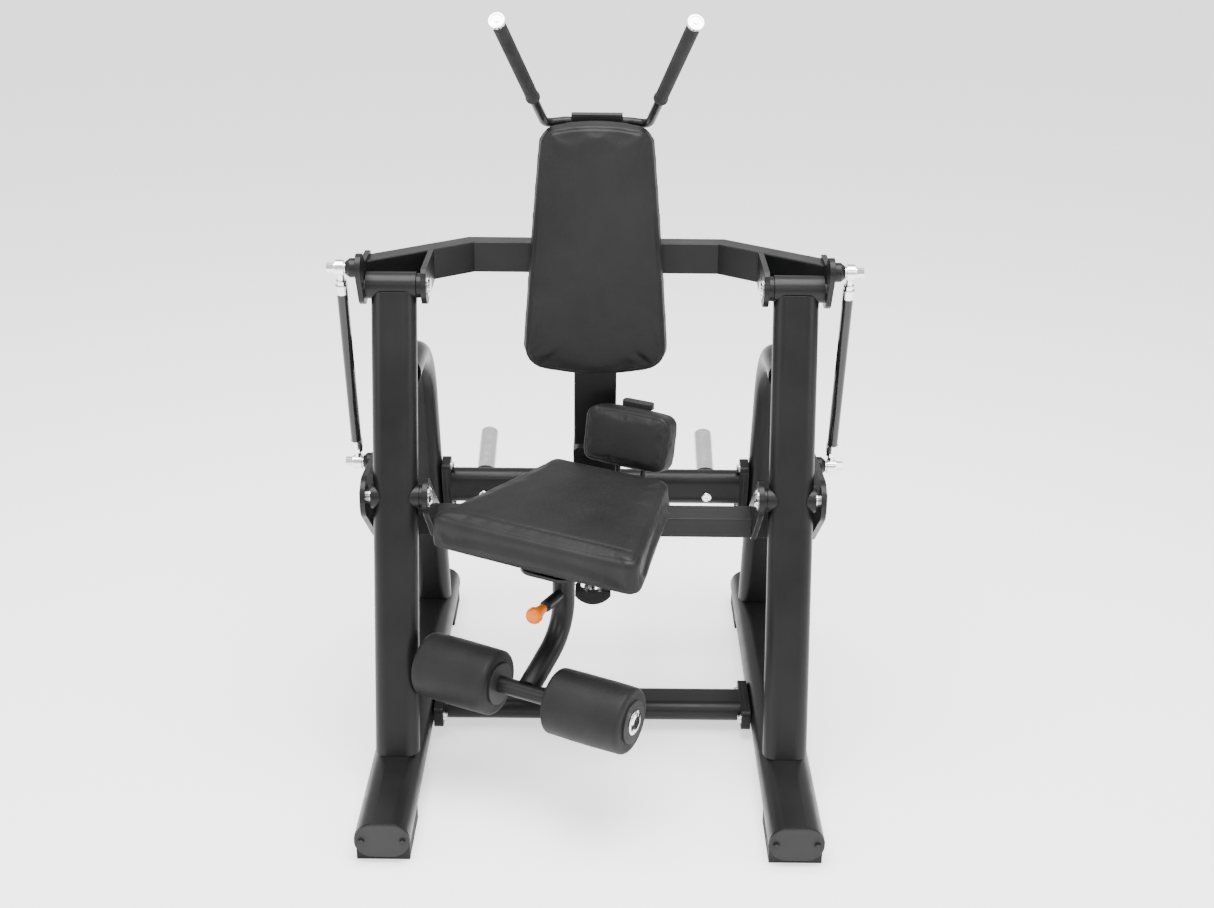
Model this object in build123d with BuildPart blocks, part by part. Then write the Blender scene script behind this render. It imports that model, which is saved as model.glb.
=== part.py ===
"""Plate-loaded abdominal and oblique crunch machine, built as separate parts.

Frame: +Z up, +Y towards the back of the machine, X across it, origin on the
floor at the middle of the base.  Millimetres.
"""
import os
from math import atan2, cos, degrees, hypot, radians, sin, tan

from build123d import *

os.makedirs("parts", exist_ok=True)

SIDES = ((-1, "left"), (1, "right"))

# ---------------------------------------------------------------- dimensions
# Side frames
FRAME_X = 440.0            # centre of each side frame from the middle plane
RAIL_LENGTH = 1215.0
RAIL_WIDTH, RAIL_HEIGHT = 120.0, 80.0
FOOT_DROP = 15.0           # rubber under the rail
RAIL_Z = FOOT_DROP + RAIL_HEIGHT / 2
RAIL_TOP = FOOT_DROP + RAIL_HEIGHT
TUBE_WIDTH, TUBE_DEPTH = 100.0, 60.0
WALL = 3.0
PLATE = 6.0
LEAN = 14.66               # lean of the uprights from vertical, degrees
LEG_FOOT_Y = 447.5         # centre of the rear leg on the rail
LEG_BEND = 220.0
LEG_TOP_Z = 903.5

# Pivots, as (y, z)
YOKE_PIVOT = (-50.0, 1112.0)
LEVER_PIVOT = (-168.0, 660.0)
CRANK_PIN = (-90.0, 1162.0)
LEVER_PIN = (13.0, 667.0)
BEARING_R = 30.0
LOWER_BEARING_R = 28.0
SHAFT_R = 15.0
RUN_FIT = 0.05             # radial clearance of every pivot
INNER_PLATE_X = 372.0      # middle of the plates on the inner side
OUTER_PLATE_X = 508.0      # middle of the plates on the outer side
ARM_PLATE = 12.0

# Yoke
YOKE_BEAM_DEPTH, YOKE_BEAM_HEIGHT = 50.0, 71.0
YOKE_BEAM_FRONT_Y = 154.5
YOKE_BEAM_Z = 1120.5
YOKE_BEND_X = 280.0
YOKE_BEND_ANGLE = 37.1
POST_WIDTH, POST_DEPTH = 100.0, 25.0
POST_BOTTOM_Z, POST_TOP_Z = 668.0, 1424.0
HANDLE_R, GRIP_R = 10.0, 14.0
HANDLE_END = (193.0, -220.0, 1697.0)
HANDLE_BEND = (115.0, 126.0, 1435.0)
HANDLE_INNER = (72.0, 143.0, 1437.0)
GRIP_LENGTH = 320.0

# Back pad
PAD_FRONT_Y, PAD_THICK = 69.5, 44.0
PAD_BOTTOM_Z, PAD_TOP_Z = 862.0, 1445.0
PAD_BOTTOM_HALF, PAD_TOP_HALF = 174.0, 127.0

# Lever
LEVER_BEAM_Y, LEVER_BEAM_Z = -18.5, 536.0
LEVER_BEAM_DEPTH, LEVER_BEAM_HEIGHT = 76.0, 48.0

# Tie rods
ROD_X = 549.5
ROD_EYE_R, ROD_BOLT_R = 17.5, 7.0
ROD_EYE_SHIFT = (1.8, -1.0)    # where the lower eye sits on its bolt at rest
ROD_EYE_PLAY = 2.7         # radial clearance of the lower eye on its bolt

# Fixed cross members
LOW_BEAM_Y, LOW_BEAM_Z = -39.5, 53.0
LOW_BEAM_HEIGHT = 50.0
STORE_BEAM_Y, STORE_BEAM_Z = 350.0, 464.0
STORE_BEAM_HEIGHT = 90.0
FLANGE, TAB = 10.0, 12.0
HORN_X = 285.0
HORN_R, HORN_LENGTH, HORN_RISE = 24.15, 190.0, 18.0

# Seat support
SEAT_Y = -115.0
ARM_WIDTH, ARM_BOTTOM_Z, ARM_TOP_Z = 82.0, 383.0, 410.0
ARM_PLATE_TOP_Z = 416.0
ARM_FRONT_Y = -150.0
COLUMN_R, COLUMN_TOP_Z = 30.5, 536.0
STUB_R, STUB_TOP_Z = 15.0, 524.0

# Seat group, in the turned frame of the seat
SEAT_TURN = 27.5
SEAT_TILT = 4.0
SEAT_THICK = 78.0
SEAT_FRONT_Y, SEAT_REAR_Y = -300.0, 93.0
SEAT_FRONT_HALF, SEAT_REAR_HALF = 265.0, 153.0
SEAT_TOP_Z = 678.0
LEG_TUBE_R = 25.0
LEG_TUBE_Y = -140.0
ROLLER_Y, ROLLER_Z = -306.0, 292.0
ROLLER_R, ROLLER_LENGTH, ROLLER_GAP = 74.0, 190.0, 140.0
ROLLER_SHAFT_R = 19.0
PIN_Z, PIN_R = 463.0, 6.0

LEAN_TAN = tan(radians(LEAN))


def save(shape, name):
    shape.label = name
    export_step(shape, f"parts/{name}.step")


def yz(x):
    """Plane across X at x, drawn in (y, z)."""
    return Plane(origin=(x, 0, 0), x_dir=(0, 1, 0), z_dir=(1, 0, 0))


def upright_y(z):
    """Middle of the upright at height z."""
    return YOKE_PIVOT[0] - (YOKE_PIVOT[1] - z) * LEAN_TAN


# ---------------------------------------------------------------- side frames
def oval(width, depth):
    """Section of a flat-oval tube."""
    SlotOverall(width, depth)
    SlotOverall(width - 2 * WALL, depth - 2 * WALL, mode=Mode.SUBTRACT)


with BuildPart() as rails:
    for side, tag in SIDES:
        start = Plane(
            origin=(side * FRAME_X, -RAIL_LENGTH / 2 + PLATE, RAIL_Z), x_dir=(1, 0, 0), z_dir=(0, 1, 0)
        )
        with BuildSketch(start):
            oval(RAIL_WIDTH, RAIL_HEIGHT)
        extrude(amount=RAIL_LENGTH - 2 * PLATE)
save(rails.part, "base_rails")

# Uprights stand on the rails; both bearings sit across them
upright_dir = Vector(0, sin(radians(LEAN)), cos(radians(LEAN)))
upright_low_z = RAIL_TOP - 20
upright_length = (YOKE_PIVOT[1] - 14 - upright_low_z) / cos(radians(LEAN))
with BuildPart() as uprights:
    for side, tag in SIDES:
        low = Plane(
            origin=(side * FRAME_X, upright_y(upright_low_z), upright_low_z),
            x_dir=(1, 0, 0),
            z_dir=upright_dir,
        )
        with BuildSketch(low):
            oval(TUBE_WIDTH, TUBE_DEPTH)
        extrude(amount=upright_length)
        with BuildSketch(yz(side * FRAME_X)):
            with Locations(YOKE_PIVOT):
                Circle(BEARING_R)
            with Locations(LEVER_PIVOT):
                Circle(LOWER_BEARING_R)
        extrude(amount=TUBE_WIDTH, both=True, mode=Mode.SUBTRACT)
        with Locations((side * FRAME_X, low.origin.Y, RAIL_TOP - 50)):
            Box(200, 300, 100, mode=Mode.SUBTRACT)
save(uprights.part, "uprights")

# Rear legs lean forward and bend over to the back of the uprights
corner_y = LEG_FOOT_Y - (LEG_TOP_Z - RAIL_TOP) * LEAN_TAN
foot_y = LEG_FOOT_Y + 20 * LEAN_TAN
with BuildPart() as legs:
    for side, tag in SIDES:
        x = side * FRAME_X
        with BuildLine(yz(x)) as leg_path:
            FilletPolyline(
                (foot_y, RAIL_TOP - 20),
                (corner_y, LEG_TOP_Z),
                (upright_y(LEG_TOP_Z), LEG_TOP_Z),
                radius=LEG_BEND,
            )
        with BuildSketch(Plane(origin=leg_path.line @ 0, x_dir=(1, 0, 0), z_dir=leg_path.line % 0)):
            oval(TUBE_WIDTH, TUBE_DEPTH)
        sweep(path=leg_path.line)
        with Locations((x, foot_y, RAIL_TOP - 50)):
            Box(200, 300, 100, mode=Mode.SUBTRACT)
        low = Plane(origin=(x, upright_y(upright_low_z), upright_low_z), x_dir=(1, 0, 0), z_dir=upright_dir)
        with BuildSketch(low):
            with Locations((0, 20)):
                Rectangle(TUBE_WIDTH + 20, TUBE_DEPTH + 40)
        extrude(amount=upright_length, mode=Mode.SUBTRACT)
save(legs.part, "rear_legs")

# Pivot bearings on the uprights, bored for their shafts
for name, pivot, radius, half_x, middle_x in (
    ("top_bearings", YOKE_PIVOT, BEARING_R, 55.0, 445.0),
    ("lower_bearings", LEVER_PIVOT, LOWER_BEARING_R, 54.0, 440.0),
):
    with BuildPart() as bearing:
        for side, tag in SIDES:
            with BuildSketch(yz(side * middle_x)):
                with Locations(pivot):
                    Circle(radius)
                    Circle(SHAFT_R + RUN_FIT, mode=Mode.SUBTRACT)
            extrude(amount=half_x, both=True)
    save(bearing.part, name)

with BuildPart() as end_plates:
    for side, tag in SIDES:
        for end in (-1, 1):
            y = end * (RAIL_LENGTH / 2 - PLATE / 2)
            with BuildSketch(Plane(origin=(side * FRAME_X, y, RAIL_Z), x_dir=(1, 0, 0), z_dir=(0, 1, 0))):
                SlotOverall(RAIL_WIDTH - 2, RAIL_HEIGHT - 2)
                with GridLocations(88, 0, 2, 1):
                    Circle(4.1, mode=Mode.SUBTRACT)
            extrude(amount=PLATE / 2, both=True)
save(end_plates.part, "rail_end_plates")

# Rubber feet under both ends of both rails
with BuildPart() as feet:
    for side, tag in SIDES:
        for end in (-1, 1):
            y = end * (RAIL_LENGTH / 2 - 14 - 75)
            with BuildSketch(Plane(origin=(side * FRAME_X, y, 0), x_dir=(1, 0, 0), z_dir=(0, -1, 0))):
                with Locations((0, 20)):
                    Rectangle(114, 40)
                with Locations((0, RAIL_Z)):
                    SlotOverall(RAIL_WIDTH, RAIL_HEIGHT, mode=Mode.SUBTRACT)
            extrude(amount=75, both=True)
save(feet.part, "rubber_feet")

with BuildPart() as plate_screws:
    for side, tag in SIDES:
        for end in (-1, 1):
            for dx in (-44, 44):
                face = Plane(
                    origin=(side * FRAME_X + dx, end * RAIL_LENGTH / 2, RAIL_Z),
                    x_dir=(1, 0, 0),
                    z_dir=(0, end, 0),
                )
                with BuildSketch(face):
                    Circle(6.6)
                extrude(amount=6.0)
                with BuildSketch(face):
                    Circle(4.1)
                extrude(amount=-PLATE)
save(plate_screws.part, "end_plate_screws")

# ---------------------------------------------------------------- cross members
with BuildPart() as low_beam:
    with BuildSketch(Plane(origin=(0, LOW_BEAM_Y, LOW_BEAM_Z), x_dir=(0, 1, 0), z_dir=(1, 0, 0))):
        oval(TUBE_WIDTH, LOW_BEAM_HEIGHT)
    extrude(amount=FRAME_X - RAIL_WIDTH / 2 - FLANGE - TAB, both=True)
    for side, tag in SIDES:
        with BuildSketch(yz(side * (FRAME_X - RAIL_WIDTH / 2 - TAB - FLANGE / 2))):
            with Locations((LOW_BEAM_Y, LOW_BEAM_Z)):
                RectangleRounded(162, 52, 14)
        extrude(amount=FLANGE / 2, both=True)
save(low_beam.part, "low_crossbeam")

with BuildPart() as store_beam:
    with BuildSketch(Plane(origin=(0, STORE_BEAM_Y, STORE_BEAM_Z), x_dir=(0, 0, 1), z_dir=(1, 0, 0))):
        oval(STORE_BEAM_HEIGHT, TUBE_DEPTH)
    extrude(amount=FRAME_X - TUBE_WIDTH / 2 - FLANGE - TAB, both=True)
    for side, tag in SIDES:
        with BuildSketch(yz(side * (FRAME_X - TUBE_WIDTH / 2 - TAB - FLANGE / 2))):
            with Locations((STORE_BEAM_Y, STORE_BEAM_Z)):
                RectangleRounded(56, 152, 14, rotation=LEAN)
        extrude(amount=FLANGE / 2, both=True)
save(store_beam.part, "storage_crossbeam")

# Weld-on tabs that the two beams bolt to
with BuildPart() as tabs:
    for side, tag in SIDES:
        with BuildSketch(yz(side * (FRAME_X - RAIL_WIDTH / 2))):
            with Locations((LOW_BEAM_Y, LOW_BEAM_Z)):
                RectangleRounded(162, 52, 14)
        extrude(amount=-side * TAB)
        with BuildSketch(yz(side * (FRAME_X - TUBE_WIDTH / 2))):
            with Locations((STORE_BEAM_Y, STORE_BEAM_Z)):
                RectangleRounded(56, 152, 14, rotation=LEAN)
        extrude(amount=-side * TAB)
save(tabs.part, "beam_tabs")


def hex_bolts(name, places):
    """Chrome hexagon heads with a washer, seated on faces that look along X."""
    with BuildPart() as bolts:
        for x, y, z, way in places:
            with BuildSketch(Plane(origin=(x, y, z), x_dir=(0, 1, 0), z_dir=(way, 0, 0))):
                Circle(11)
            extrude(amount=2)
            with BuildSketch(Plane(origin=(x + way * 2, y, z), x_dir=(0, 1, 0), z_dir=(way, 0, 0))):
                RegularPolygon(9, 6)
            extrude(amount=7)
    save(bolts.part, name)


low_bolt_x = FRAME_X - RAIL_WIDTH / 2 - TAB - FLANGE
store_bolt_x = FRAME_X - TUBE_WIDTH / 2 - TAB - FLANGE
low_bolts = [(s * low_bolt_x, LOW_BEAM_Y + dy, LOW_BEAM_Z, -s) for s, tag in SIDES for dy in (-65, 65)]
store_bolts = [
    (s * store_bolt_x, STORE_BEAM_Y - dz * sin(radians(LEAN)), STORE_BEAM_Z + dz * cos(radians(LEAN)), -s)
    for s, tag in SIDES
    for dz in (-59, 59)
]
hex_bolts("beam_bolts", low_bolts + store_bolts)

# Plate horns point backwards and up from the storage beam
horn_dir = Vector(0, cos(radians(HORN_RISE)), sin(radians(HORN_RISE)))
horn_back = STORE_BEAM_Y + TUBE_DEPTH / 2
with BuildPart() as horns:
    for side, tag in SIDES:
        root = Vector(side * HORN_X, horn_back, STORE_BEAM_Z)
        with BuildSketch(Plane(origin=root - horn_dir * 12, x_dir=(1, 0, 0), z_dir=horn_dir)):
            Circle(HORN_R - 4)
        extrude(amount=12 + 20)
        with BuildSketch(Plane(origin=root + horn_dir * 20, x_dir=(1, 0, 0), z_dir=horn_dir)):
            Circle(HORN_R)
        extrude(amount=HORN_LENGTH - 20)
        with Locations((side * HORN_X, horn_back - 30, STORE_BEAM_Z)):
            Box(80, 60, 200, mode=Mode.SUBTRACT)
    chamfer(horns.faces().group_by(Axis((0, 0, 0), tuple(horn_dir)))[-1].edges(), 2.5)
save(horns.part, "plate_horns")

with BuildPart() as collars:
    for side, tag in SIDES:
        root = Vector(side * HORN_X, horn_back, STORE_BEAM_Z) + horn_dir * 12
        with BuildSketch(Plane(origin=root, x_dir=(1, 0, 0), z_dir=horn_dir)):
            Circle(32.5)
            Circle(HORN_R - 4, mode=Mode.SUBTRACT)
        extrude(amount=8)
save(collars.part, "horn_collars")

with BuildPart() as horn_screws:
    for side, tag in SIDES:
        front = Plane(
            origin=(side * HORN_X, STORE_BEAM_Y - TUBE_DEPTH / 2, STORE_BEAM_Z - 16),
            x_dir=(1, 0, 0),
            z_dir=(0, -1, 0),
        )
        with BuildSketch(front):
            Circle(12.5)
        extrude(amount=7)
        fillet(horn_screws.faces().sort_by(Axis.Y)[0].edges(), 4.5)
        with BuildSketch(Plane(origin=front.origin + Vector(0, -7, 0), x_dir=(1, 0, 0), z_dir=(0, 1, 0))):
            RegularPolygon(4.5, 6)
        extrude(amount=4, mode=Mode.SUBTRACT)
save(horn_screws.part, "horn_screws")

# ---------------------------------------------------------------- seat support
arm_rear_y = STORE_BEAM_Y - TUBE_DEPTH / 2
arm_half = ARM_WIDTH / 2
with BuildPart() as seat_arm:
    for back, top_z, grow in ((arm_rear_y, ARM_TOP_Z, 0.0), (ARM_FRONT_Y + 10, ARM_PLATE_TOP_Z, 0.0)):
        with BuildSketch(Plane(origin=(0, ARM_FRONT_Y, 0), x_dir=(1, 0, 0), z_dir=(0, -1, 0))):
            with BuildLine():
                Polyline(
                    (-arm_half, ARM_TOP_Z - 5),
                    (-arm_half, top_z),
                    (arm_half, top_z),
                    (arm_half, ARM_TOP_Z - 5),
                )
                ThreePointArc((arm_half, ARM_TOP_Z - 5), (0, ARM_BOTTOM_Z), (-arm_half, ARM_TOP_Z - 5))
            make_face()
        extrude(amount=-(back - ARM_FRONT_Y))
    # weld plate against the storage beam
    with BuildSketch(Plane(origin=(0, arm_rear_y, 0), x_dir=(1, 0, 0), z_dir=(0, -1, 0))):
        with Locations((0, STORE_BEAM_Z - 32)):
            Rectangle(ARM_WIDTH, 110)
    extrude(amount=12)
save(seat_arm.part, "seat_support_arm")

STOP_FRONT_Y, STOP_BACK_Y, STOP_HEAD_Y = 150.0, 205.0, 125.0
STOP_HALF, STOP_TOP_Z, STOP_HEAD_Z = 52.0, 660.0, 640.0
with BuildPart() as stop_post:
    with BuildSketch(Plane(origin=(0, STOP_FRONT_Y, 0), x_dir=(1, 0, 0), z_dir=(0, -1, 0))):
        with Locations((0, (ARM_TOP_Z + STOP_HEAD_Z) / 2)):
            Rectangle(2 * STOP_HALF, STOP_HEAD_Z - ARM_TOP_Z)
    extrude(amount=-(STOP_BACK_Y - STOP_FRONT_Y))
    with BuildSketch(Plane(origin=(0, STOP_HEAD_Y, 0), x_dir=(1, 0, 0), z_dir=(0, -1, 0))):
        with BuildLine():
            Polyline(
                (-STOP_HALF, STOP_HEAD_Z),
                (-STOP_HALF, STOP_TOP_Z - 8),
                (-STOP_HALF + 10, STOP_TOP_Z),
                (STOP_HALF - 10, STOP_TOP_Z),
                (STOP_HALF, STOP_TOP_Z - 8),
                (STOP_HALF, STOP_HEAD_Z),
                close=True,
            )
        make_face()
    extrude(amount=-(STOP_BACK_Y - STOP_HEAD_Y))
save(stop_post.part, "stop_bracket")

with BuildPart() as stop_pad:
    with BuildSketch(Plane(origin=(0, 142, STOP_TOP_Z), x_dir=(1, 0, 0), z_dir=(0, 0, 1))):
        RectangleRounded(76, 28, 5)
    extrude(amount=POST_BOTTOM_Z - 0.4 - STOP_TOP_Z)
save(stop_pad.part, "stop_bumper")

# Stub on the arm that the seat column turns on, with its round flange
with BuildPart() as stub:
    with BuildSketch(Plane.XY.offset(ARM_TOP_Z)):
        with Locations((0, SEAT_Y)):
            Circle(COLUMN_R - 1)
            with Locations((0, ARM_FRONT_Y - SEAT_Y - 40)):
                Rectangle(120, 100, mode=Mode.SUBTRACT)
    extrude(amount=6)
    with BuildSketch(Plane.XY.offset(ARM_TOP_Z)):
        with Locations((0, SEAT_Y)):
            Circle(STUB_R)
    extrude(amount=STUB_TOP_Z - ARM_TOP_Z)
save(stub.part, "swivel_stub")

# ---------------------------------------------------------------- yoke
bend_tan = tan(radians(YOKE_BEND_ANGLE))
beam_end_x = OUTER_PLATE_X - ARM_PLATE / 2
beam_end_front = YOKE_BEAM_FRONT_Y - (beam_end_x - YOKE_BEND_X) * bend_tan
beam_run = YOKE_BEAM_DEPTH / cos(radians(YOKE_BEND_ANGLE))
bend_shift = YOKE_BEAM_DEPTH * tan(radians(YOKE_BEND_ANGLE / 2))
with BuildPart() as yoke_beam:
    with BuildSketch(Plane.XY.offset(YOKE_BEAM_Z - YOKE_BEAM_HEIGHT / 2)):
        with BuildLine():
            Polyline(
                (-beam_end_x, beam_end_front),
                (-YOKE_BEND_X, YOKE_BEAM_FRONT_Y),
                (YOKE_BEND_X, YOKE_BEAM_FRONT_Y),
                (beam_end_x, beam_end_front),
                (beam_end_x, beam_end_front + beam_run),
                (YOKE_BEND_X + bend_shift, YOKE_BEAM_FRONT_Y + YOKE_BEAM_DEPTH),
                (-YOKE_BEND_X - bend_shift, YOKE_BEAM_FRONT_Y + YOKE_BEAM_DEPTH),
                (-beam_end_x, beam_end_front + beam_run),
                close=True,
            )
        make_face()
    extrude(amount=YOKE_BEAM_HEIGHT)
    long_edges = yoke_beam.edges().filter_by(Plane.XY).filter_by(Axis.Y, reverse=True)
    fillet(long_edges, 3.0)
save(yoke_beam.part, "yoke_beam")

beam_top = YOKE_BEAM_Z + YOKE_BEAM_HEIGHT / 2
beam_bottom = YOKE_BEAM_Z - YOKE_BEAM_HEIGHT / 2
with BuildPart() as inner_plate:
    for side, tag in SIDES:
        with BuildSketch(yz(side * INNER_PLATE_X)):
            with Locations(YOKE_PIVOT):
                Circle(40)
            with BuildLine():
                Polyline(
                    (YOKE_PIVOT[0] - 32, YOKE_PIVOT[1] - 12),
                    (YOKE_PIVOT[0] - 32, YOKE_PIVOT[1] + 36),
                    (YOKE_PIVOT[0] - 24, YOKE_PIVOT[1] + 44),
                    (beam_end_front + 130, beam_top),
                    (beam_end_front + 130, beam_bottom),
                    (YOKE_PIVOT[0] + 22, YOKE_PIVOT[1] - 32),
                    close=True,
                )
            make_face()
            with Locations(YOKE_PIVOT):
                Circle(SHAFT_R, mode=Mode.SUBTRACT)
        extrude(amount=ARM_PLATE / 2, both=True)
        # ends where it meets the front of the beam
        with BuildSketch(Plane.XY.offset(beam_bottom - 40)):
            with BuildLine():
                Polyline(
                    (side * (beam_end_x + 1), beam_end_front - bend_tan),
                    (side * YOKE_BEND_X, YOKE_BEAM_FRONT_Y),
                    (side * YOKE_BEND_X, YOKE_BEAM_FRONT_Y + 100),
                    (side * (beam_end_x + 1), YOKE_BEAM_FRONT_Y + 100),
                    close=True,
                )
            make_face()
        extrude(amount=160, mode=Mode.SUBTRACT)
save(inner_plate.part, "yoke_inner_plates")

with BuildPart() as crank:
    for side, tag in SIDES:
        with BuildSketch(yz(side * OUTER_PLATE_X)):
            with Locations(YOKE_PIVOT):
                Circle(42)
            with Locations(CRANK_PIN):
                Circle(31)
            make_hull()
            with BuildLine():
                Polyline(
                    YOKE_PIVOT,
                    (YOKE_PIVOT[0] - 13, YOKE_PIVOT[1] + 53),
                    (beam_end_front + beam_run - 6, YOKE_PIVOT[1] + 53),
                    (beam_end_front + beam_run + 2, beam_top - 10),
                    (beam_end_front + beam_run + 2, beam_bottom),
                    (YOKE_PIVOT[0] + 24, YOKE_PIVOT[1] - 34),
                    close=True,
                )
            make_face()
            with Locations(YOKE_PIVOT):
                Circle(SHAFT_R, mode=Mode.SUBTRACT)
        extrude(amount=ARM_PLATE / 2, both=True)
        # turned boss that carries the rod-end bolt
        outer = side * (OUTER_PLATE_X + ARM_PLATE / 2)
        with BuildSketch(Plane(origin=(outer, *CRANK_PIN), x_dir=(0, 1, 0), z_dir=(side, 0, 0))):
            Circle(21)
        extrude(amount=14)
        with BuildSketch(Plane(origin=(outer + side * 14, *CRANK_PIN), x_dir=(0, 1, 0), z_dir=(side, 0, 0))):
            Circle(21)
        extrude(amount=9, taper=38)
save(crank.part, "yoke_cranks")

with BuildPart() as shaft:
    for side, tag in SIDES:
        with BuildSketch(yz(side * (INNER_PLATE_X - ARM_PLATE / 2))):
            with Locations(YOKE_PIVOT):
                Circle(SHAFT_R)
        extrude(amount=side * (OUTER_PLATE_X - INNER_PLATE_X + ARM_PLATE))
save(shaft.part, "yoke_shafts")

POST_FRONT_Y = YOKE_BEAM_FRONT_Y - POST_DEPTH
with BuildPart() as post:
    with BuildSketch(Plane.XY.offset(POST_BOTTOM_Z)):
        with Locations((0, POST_FRONT_Y + POST_DEPTH / 2)):
            RectangleRounded(POST_WIDTH, POST_DEPTH, 5)
    extrude(amount=POST_TOP_Z - POST_BOTTOM_Z)
save(post.part, "yoke_post")

# Clamp block at the head of the post, bored for the handle bar
with BuildPart() as clamp:
    with BuildSketch(Plane.XY.offset(POST_TOP_Z)):
        with Locations((0, HANDLE_INNER[1])):
            RectangleRounded(114, 30, 4)
    extrude(amount=30)
    with BuildSketch(yz(0)):
        with Locations((HANDLE_INNER[1], HANDLE_INNER[2])):
            Circle(HANDLE_R)
    extrude(amount=60, both=True, mode=Mode.SUBTRACT)
save(clamp.part, "handle_clamp")


def mirrored(point):
    return (-point[0], point[1], point[2])


with BuildPart() as handle:
    with BuildLine() as handle_path:
        FilletPolyline(
            mirrored(HANDLE_END),
            mirrored(HANDLE_BEND),
            mirrored(HANDLE_INNER),
            HANDLE_INNER,
            HANDLE_BEND,
            HANDLE_END,
            radius=28,
        )
    with BuildSketch(Plane(origin=handle_path.line @ 0, z_dir=handle_path.line % 0)):
        Circle(HANDLE_R)
    sweep(path=handle_path.line)
save(handle.part, "handle_bar")

with BuildPart() as grips:
    for side, tag in SIDES:
        tip = Vector(side * HANDLE_END[0], HANDLE_END[1], HANDLE_END[2])
        bend = Vector(side * HANDLE_BEND[0], HANDLE_BEND[1], HANDLE_BEND[2])
        along = (tip - bend).normalized()
        with BuildSketch(Plane(origin=tip - along * GRIP_LENGTH, z_dir=along)):
            Circle(GRIP_R)
            Circle(HANDLE_R, mode=Mode.SUBTRACT)
        extrude(amount=GRIP_LENGTH)
save(grips.part, "grips")

with BuildPart() as grip_caps:
    for side, tag in SIDES:
        tip = Vector(side * HANDLE_END[0], HANDLE_END[1], HANDLE_END[2])
        bend = Vector(side * HANDLE_BEND[0], HANDLE_BEND[1], HANDLE_BEND[2])
        along = (tip - bend).normalized()
        with BuildSketch(Plane(origin=tip, z_dir=along)):
            Circle(17)
        extrude(amount=6)
        with BuildSketch(Plane(origin=tip + along * 6, z_dir=along)):
            Circle(17)
            Circle(12.5, mode=Mode.SUBTRACT)
        extrude(amount=1.2, taper=20)
        with BuildSketch(Plane(origin=tip + along * 6, z_dir=along)):
            Circle(4.5)
        extrude(amount=2)
save(grip_caps.part, "grip_end_caps")

# Back pad: tapered, large corners, top and bottom bowed
with BuildPart() as back_pad:
    with BuildSketch(Plane(origin=(0, PAD_FRONT_Y, 0), x_dir=(1, 0, 0), z_dir=(0, -1, 0))):
        with BuildLine() as outline:
            Line((-PAD_BOTTOM_HALF, PAD_BOTTOM_Z + 8), (-PAD_TOP_HALF, PAD_TOP_Z - 8))
            ThreePointArc((-PAD_TOP_HALF, PAD_TOP_Z - 8), (0, PAD_TOP_Z), (PAD_TOP_HALF, PAD_TOP_Z - 8))
            Line((PAD_TOP_HALF, PAD_TOP_Z - 8), (PAD_BOTTOM_HALF, PAD_BOTTOM_Z + 8))
            ThreePointArc(
                (PAD_BOTTOM_HALF, PAD_BOTTOM_Z + 8),
                (0, PAD_BOTTOM_Z - 4),
                (-PAD_BOTTOM_HALF, PAD_BOTTOM_Z + 8),
            )
        make_face()
    extrude(amount=-PAD_THICK)
    upper = back_pad.edges().filter_by(Axis.Y).group_by(Axis.Z)[-1]
    fillet(upper, 46)
    lower = back_pad.edges().filter_by(Axis.Y).group_by(Axis.Z)[0]
    fillet(lower, 58)
    fillet(back_pad.faces().sort_by(Axis.Y)[0].edges(), 14)
save(back_pad.part, "back_pad")

# Board between the pad and the post
with BuildPart() as pad_board:
    with BuildSketch(Plane(origin=(0, PAD_FRONT_Y + PAD_THICK, 0), x_dir=(1, 0, 0), z_dir=(0, -1, 0))):
        with BuildLine():
            Polyline(
                (-PAD_BOTTOM_HALF + 30, PAD_BOTTOM_Z + 35),
                (-PAD_TOP_HALF + 32, PAD_TOP_Z - 34),
                (PAD_TOP_HALF - 32, PAD_TOP_Z - 34),
                (PAD_BOTTOM_HALF - 30, PAD_BOTTOM_Z + 35),
                close=True,
            )
        make_face()
    extrude(amount=-(POST_FRONT_Y - PAD_FRONT_Y - PAD_THICK))
    fillet(pad_board.edges().filter_by(Axis.Y), 30)
save(pad_board.part, "back_pad_board")

# ---------------------------------------------------------------- lever
with BuildPart() as lever_beam:
    with BuildSketch(Plane(origin=(0, LEVER_BEAM_Y, LEVER_BEAM_Z), x_dir=(0, 1, 0), z_dir=(1, 0, 0))):
        RectangleRounded(LEVER_BEAM_DEPTH, LEVER_BEAM_HEIGHT, 3)
    extrude(amount=OUTER_PLATE_X - ARM_PLATE / 2, both=True)
save(lever_beam.part, "lever_beam")

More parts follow.
